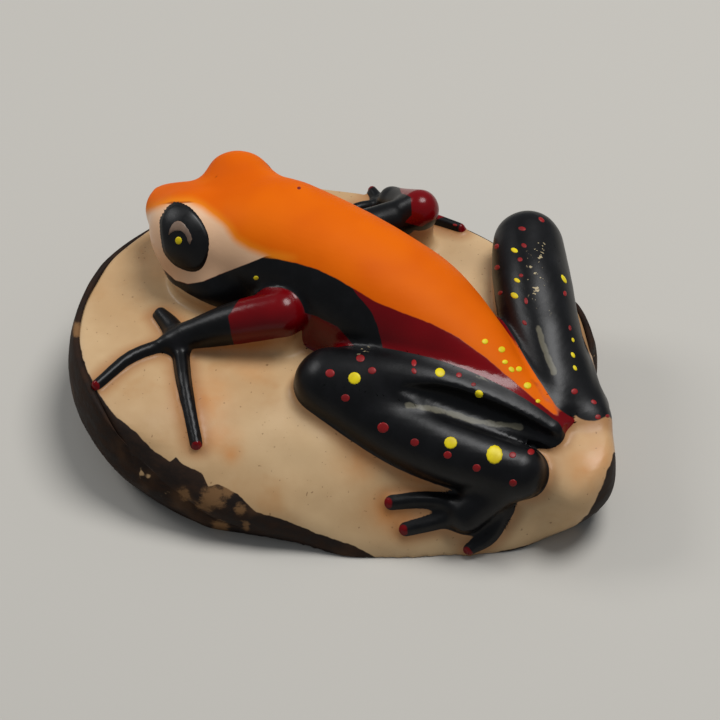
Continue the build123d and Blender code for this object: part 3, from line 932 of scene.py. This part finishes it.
def painted_ivory():
    """The carving's own material: paint over ivory, by the measures that its points carry."""
    mat = Shader("painted_ivory")
    ivory, ivory_rough = ivory_layer(mat)
    coat, coat_rough = coat_layer(mat)
    brush = mat.noise(700, 3, 0.6)
    broad = mat.noise(120, 2)
    orange = mat.tones(broad, ORANGE)
    red = mat.tones(broad, RED)
    black = mat.tones(brush, BLACK, 0.35, 0.75)
    cheek = mat.tones(broad, CHEEK)
    yellowed = mat.ramp(mat.carried("orange"), 0, 1.1, 0.8, 0)
    by_cheek = mat.ramp(mat.carried("cream"), -1.4, 0)
    orange = mat.mix(mat.math("MULTIPLY", yellowed, by_cheek), orange, linear(ORANGE_YELLOWED))

    is_limb = mat.edge("limb")
    is_black = mat.edge("black", wander=0.08)
    is_cream = mat.edge("cream")
    airbrushed = mat.ramp(mat.carried("cream"), -0.5, 0.3, 0.07, 0.45)
    is_orange = mat.edge("orange", airbrushed, 0.08)
    body = mat.mix(is_black, red, black)
    body = mat.mix(is_cream, body, cheek)
    body = mat.mix(is_orange, body, orange)
    is_satin = mat.math("MULTIPLY", is_orange, mat.math("SUBTRACT", 1, is_limb))
    body_rough = mat.blend(is_black, 0.16, 0.34)
    body_rough = mat.blend(is_cream, body_rough, 0.32)
    body_rough = mat.blend(is_orange, body_rough, 0.55)

    is_red = mat.edge("red", wander=0.08)
    limb = mat.mix(is_red, black, red)
    limb = mat.mix(mat.edge("streak", 0.08, 0.25), limb, linear(STREAK))
    chipped = mat.ramp(mat.noise(2300, 2), 0.64, 0.67)
    chipped = mat.math("MULTIPLY", chipped, mat.ramp(mat.carried("worn"), 0, 0.8))
    limb = mat.mix(chipped, limb, linear(CHIP))
    paint = mat.mix(is_limb, body, limb)
    paint_rough = mat.blend(is_limb, body_rough, mat.blend(is_red, 0.36, 0.22))

    is_coat = mat.edge("coat", wander=0.16)
    is_bare = mat.edge("bare", wander=0.06)
    ground_rough = mat.blend(is_coat, ivory_rough, coat_rough)
    relief = mat.math("ADD", mat.math("MULTIPLY", brush, 0.5), mat.math("MULTIPLY", broad, 0.5))
    normal = mat.bump(relief, 0.35, 0.00008)
    return mat.finish({
        "Base Color": mat.mix(is_bare, paint, mat.mix(is_coat, ivory, coat)),
        "Roughness": mat.blend(is_bare, paint_rough, ground_rough),
        "Specular IOR Level": mat.blend(is_satin, 0.22, 0.06),
        "Normal": mat.bump(mat.noise(3200, 2), 0.12, 0.00003, Normal=normal),
    })


def seed_coat():
    mat = Shader("seed_coat")
    coat, rough = coat_layer(mat)
    ivory, _ = ivory_layer(mat)
    chips = mat.ramp(mat.noise(330, 3, 0.6), 0.68, 0.72)
    return mat.finish({
        "Base Color": mat.mix(chips, coat, ivory),
        "Roughness": rough,
        "Specular IOR Level": 0.15,
        "Normal": mat.bump(mat.noise(520, 5, 0.7), 0.6, 0.0002),
    })


def plain_paint(name, paint, roughness):
    """One colour of thick paint, a little uneven."""
    mat = Shader(name)
    tone = mat.noise(900)
    return mat.finish({
        "Base Color": mat.tones(tone, paint),
        "Roughness": mat.ramp(mat.ramp(tone, 0.3, 0.7), 0, 1, roughness, roughness + 0.1),
        "Specular IOR Level": 0.3,
        "Normal": mat.bump(mat.noise(1800), 0.2, 0.00004),
    })


materials = {
    "painted_ivory": painted_ivory(),
    "seed_coat": seed_coat(),
    "yellow_dots": plain_paint("yellow_dots", YELLOW_DOT, 0.4),
    "red_dots": plain_paint("red_dots", RED_DOT, 0.4),
    "eye_black": plain_paint("eye_black", EYE_BLACK, 0.34),
    "eye_grey": plain_paint("eye_grey", EYE_GREY, 0.4),
}


def mesh_object(name, vertices, faces, material):
    """A smooth-shaded object from points in millimetres."""
    mesh = bpy.data.meshes.new(name)
    mesh.from_pydata((np.asarray(vertices) * MM).tolist(), [], faces)
    mesh.shade_smooth()
    mesh.materials.append(material)
    mesh.update()
    item = bpy.data.objects.new(name, mesh)
    bpy.context.scene.collection.objects.link(item)
    return item


def carry(item, measures):
    """Gives an object's points the measures that its material reads."""
    for key, values in measures.items():
        layer = item.data.attributes.new(key, "FLOAT", "POINT")
        layer.data.foreach_set("value", values.astype(np.float32))


def weld(item):
    """Joins the points of an object that lie in one place, and turns all its faces outward."""
    mesh = bmesh.new()
    mesh.from_mesh(item.data)
    bmesh.ops.remove_doubles(mesh, verts=mesh.verts, dist=WELD_REACH * MM)
    bmesh.ops.recalc_face_normals(mesh, faces=mesh.faces)
    mesh.to_mesh(item.data)
    mesh.free()


dict.fromkeys(["torso", "head", *EYES], "orange_paint")

# The outer surface's quads, turned outward, and its smooth normals across the forms' joints
outer = (sides == 0).any(axis=1)
skin_quads = np.where(sides[:, :1] == 0, quads[:, ::-1], quads)[outer]
diagonals = points[skin_quads[:, 2:]] - points[skin_quads[:, :2]]
face_normal = np.cross(diagonals[:, 0], diagonals[:, 1])
vertex_normal = np.zeros_like(points)
for corner, axis in np.ndindex(4, 3):
    vertex_normal[:, axis] += np.bincount(skin_quads[:, corner], face_normal[:, axis], minlength=len(points))
length = np.linalg.norm(vertex_normal, axis=1, keepdims=True)
vertex_normal = vertex_normal / np.where(length > 0, length, 1)

for index, name in enumerate(NAMES[1:], start=1):
    own = np.vstack([quads[sides[:, 0] == index], quads[sides[:, 1] == index][:, ::-1]])
    used, faces = np.unique(own, return_inverse=True)
    faces = faces.reshape(-1, 4).tolist()
    item = mesh_object(f"{name}_carved", points[used], faces, materials["painted_ivory"])
    carry(item, {key: values[used] for key, values in attributes.items()})
    item.data.normals_split_custom_set_from_vertices(vertex_normal[used].tolist())
    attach(item, "root")
    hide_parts(name)


def band_faces(rows, count, looped):
    """Quads between rows of points. Looped rows join their ends; others run round to the first row."""
    faces = []
    for row in range(rows - 1 if looped else rows):
        above = (row + 1) % rows * count
        for column in range(count if looped else count - 1):
            far = (column + 1) % count
            faces.append((row * count + column, above + column, above + far, row * count + far))
    if not looped:
        faces += [tuple(range(end, rows * count, count)) for end in (0, count - 1)]
    return faces


def coat_strip(span):
    """One remnant of the seed coat: a closed strip round the nut's side, ragged at its two ends."""
    start, end = np.radians(span)
    columns = int((end - start) * NUT_WIDTH / 2 / COAT_STEP)
    share = np.linspace(0, 1, columns + 1)
    # Each row's height in shares of the strip's, and its depth below the coat's outer face
    rows = [(height, 0.0) for height in np.linspace(0, 1, COAT_ROWS + 1)[:-1]]
    back = COAT_DEPTH + 0.12
    rows += [(0.985, 0.02), (1.0, 0.1), (1.0, COAT_DEPTH + 0.1), (0.5, back), (0.0, back)]
    vertices = []
    for height_share, depth in rows:
        wander = np.array([(1.3, height_share * 6, 0.0), (7.9, height_share * 6, 4.0)])
        drift = lumps(wander, 1.0, 3) * COAT_RAGGED
        turn = start + drift[0] + (end + drift[1] - start - drift[0]) * share
        edge = edge_at(turn)
        top = np.full(len(turn), DECK_HEIGHT)
        for _ in range(12):
            reach = edge * breadth_at(top)
            top = (top + carved_height(reach * np.sin(turn), reach * np.cos(turn))) / 2
        sloped = slope_share(top)
        behind = -(np.sin(turn) * math.sin(azimuth) - np.cos(turn) * math.cos(azimuth))
        bared = np.clip((behind - FAR_RIM_START) * 4, 0, 1)
        top = np.maximum(top - RIM_DROP * sloped - FAR_RIM_DROP * bared, 0.3)
        height = top * height_share
        reach = edge * breadth_at(height)
        shell = np.column_stack([reach * np.sin(turn), reach * np.cos(turn), height])
        rough = COAT_ROUGH
        for size, seed, stretch, swell in COAT_LUMPS:
            rough = rough + lumps(shell * (1, 1, stretch), size, seed) * swell
        upper = sloped * np.clip((height_share - COAT_UPPER) / (1 - COAT_UPPER), 0, 1) ** 2
        ends = np.clip(1 - np.minimum(share, 1 - share) * columns * COAT_STEP / COAT_FADE, 0, 1) ** 2
        sunk = np.maximum(np.maximum(upper, ends), np.clip((COAT_LOW - top) / COAT_FADE, 0, 1))
        sunk = rough * (1 - sunk) + (COAT_DEPTH + COAT_SINK) * sunk
        shell[:, :2] *= ((reach - np.maximum(depth, sunk)) / reach)[:, None]
        vertices.append(shell)
    return np.vstack(vertices), band_faces(len(rows), columns + 1, False)


for name, span in HUSK_SPANS.items():
    vertices, faces = coat_strip(span)
    item = mesh_object(f"{name}_coat", vertices, faces, materials["seed_coat"])
    # Far from the frog everywhere, so the coat's ivory chips take no painted crease shade
    carry(item, {"gap": np.full(len(vertices), FAR), "scuff": soft_spots(project(vertices), COAT_SCUFFS)})
    weld(item)
    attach(item, "root")
    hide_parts(name)

skin = BVHTree.FromPolygons(points.tolist(), skin_quads.tolist())
near_eye, far_eye = [Vector(place(*centre)) for centre, _ in EYES.values()]
far_eye_turn = Matrix.Rotation(math.radians(-FAR_EYE_DROP), 3, "Y")


def land(pixel, mirrored):
    """The carving's point under a pixel, and its normal; mirrored, the same place on the far eye."""
    eye, aim = Vector(camera_place), Vector(rays([pixel])[0])
    point, normal, _, _ = skin.ray_cast(eye, aim)
    if point is None:
        point, normal, _, _ = skin.find_nearest(eye + aim * camera_reach)
    if mirrored:
        offset = point - near_eye
        offset.x = -offset.x
        point, normal, _, _ = skin.find_nearest(far_eye + far_eye_turn @ offset)
    return point, normal


def paint_patch(inner, outer, height, mirrored=False, looped=True, ground=0.0):
    """A raised patch of paint between two paths of pixels, closed underneath."""
    shares = [row / PATCH_ROWS for row in range(PATCH_ROWS + 1)]
    sheets = [(share, True) for share in shares] + [(share, False) for share in reversed(shares)]
    vertices = []
    for share, raised in sheets:
        swell = math.sqrt(1 - share * share) if looped else math.sin(math.pi * share)
        for first, last in zip(inner, outer):
            pixel = (first[0] + (last[0] - first[0]) * share, first[1] + (last[1] - first[1]) * share)
            point, normal = land(pixel, mirrored)
            vertices.append(point + normal * (ground + height * swell if raised else -PATCH_SINK))
    return vertices, band_faces(len(sheets), len(outer), looped)


def dot_patch(dot, height, mirrored=False, ground=0.0):
    """A raised oval dot, from its pixel, half length, half width and lean."""
    x, y, half_length, half_width, *lean = dot
    lean = math.radians(sum(lean))
    path = []
    for index in range(DOT_SIDES):
        turn = 2 * math.pi * index / DOT_SIDES
        across, down = half_length * math.cos(turn), half_width * math.sin(turn)
        path.append((
            x + across * math.cos(lean) - down * math.sin(lean),
            y + across * math.sin(lean) + down * math.cos(lean),
        ))
    return paint_patch([(x, y)] * DOT_SIDES, path, height, mirrored, True, ground)


def patches(name, shapes, material, body="root"):
    """Several patches of one paint as one piece."""
    vertices, faces = [], []
    for own, own_faces in shapes:
        faces += [tuple(corner + len(vertices) for corner in face) for face in own_faces]
        vertices += own
    item = mesh_object(name, [(x, y, max(z, 0.0)) for x, y, z in vertices], faces, material)
    weld(item)
    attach(item, body)


eye_line = curve(EYE_OUTLINE, 3, closed=True).tolist()
for side, mirrored in (("left", False), ("right", True)):
    eye_oval = paint_patch([EYE_CENTRE] * len(eye_line), eye_line, EYE_LIFT, mirrored)
    patches(f"{side}_eye_oval", [eye_oval], materials["eye_black"])
    crescent = paint_patch(CRESCENT_INNER, CRESCENT_OUTER, CRESCENT_LIFT, mirrored, False, EYE_GROUND)
    patches(f"{side}_eye_crescent", [crescent], materials["eye_grey"])
    pupil = dot_patch(EYE_PUPIL, PUPIL_LIFT, mirrored, EYE_GROUND)
    patches(f"{side}_eye_pupil", [pupil], materials["yellow_dots"])
patches("yellow_paint_dots", [dot_patch(dot, YELLOW_LIFT) for dot in YELLOW_DOTS], materials["yellow_dots"])
red_dots = [dot_patch(dot, RED_LIFT) for dot in RED_DOTS]
patches("red_paint_dots", red_dots, materials["red_dots"])


# Floor, light and camera
FLOOR_HALF = 600.0
floor = mesh_object(
    "floor",
    [(x * FLOOR_HALF, y * FLOOR_HALF, 0.0) for x, y in ((-1, -1), (1, -1), (1, 1), (-1, 1))],
    [(0, 1, 2, 3)],
    Shader("pale_floor").finish({"Base Color": linear(FLOOR_TONE), "Roughness": 0.7}),
)

scene = bpy.context.scene
world = bpy.data.worlds.new("soft_room")
world.use_nodes = True
sky = world.node_tree.nodes["Background"]
sky.inputs["Color"].default_value = (0.86, 0.92, 1.0, 1.0)
sky.inputs["Strength"].default_value = 0.25
scene.world = world


def soft_light(name, place_mm, size_mm, power):
    light = bpy.data.lights.new(name, "AREA")
    light.shape = "DISK"
    light.size = size_mm * MM
    light.energy = power
    item = bpy.data.objects.new(name, light)
    item.location = Vector(place_mm) * MM
    item.rotation_euler = (Vector(CAMERA_TARGET) * MM - item.location).to_track_quat("-Z", "Y").to_euler()
    scene.collection.objects.link(item)


soft_light("window", (-140, 60, 380), 200, 1.3)
soft_light("room", (40, -300, 280), 160, 0.45)

camera = bpy.data.cameras.new("camera")
camera.sensor_width = 36.0
camera.lens = camera.sensor_width / 2 / math.tan(math.radians(CAMERA_FOV / 2))
camera.clip_start = 0.01
camera.clip_end = 10.0
camera_object = bpy.data.objects.new("camera", camera)
camera_object.location = (Vector(CAMERA_TARGET) + Vector(camera_back) * camera_reach) * MM
camera_object.rotation_mode = "QUATERNION"
camera_object.rotation_quaternion = (-Vector(camera_back)).to_track_quat("-Z", "Y")
scene.collection.objects.link(camera_object)
scene.camera = camera_object
scene.view_settings.view_transform = "Standard"
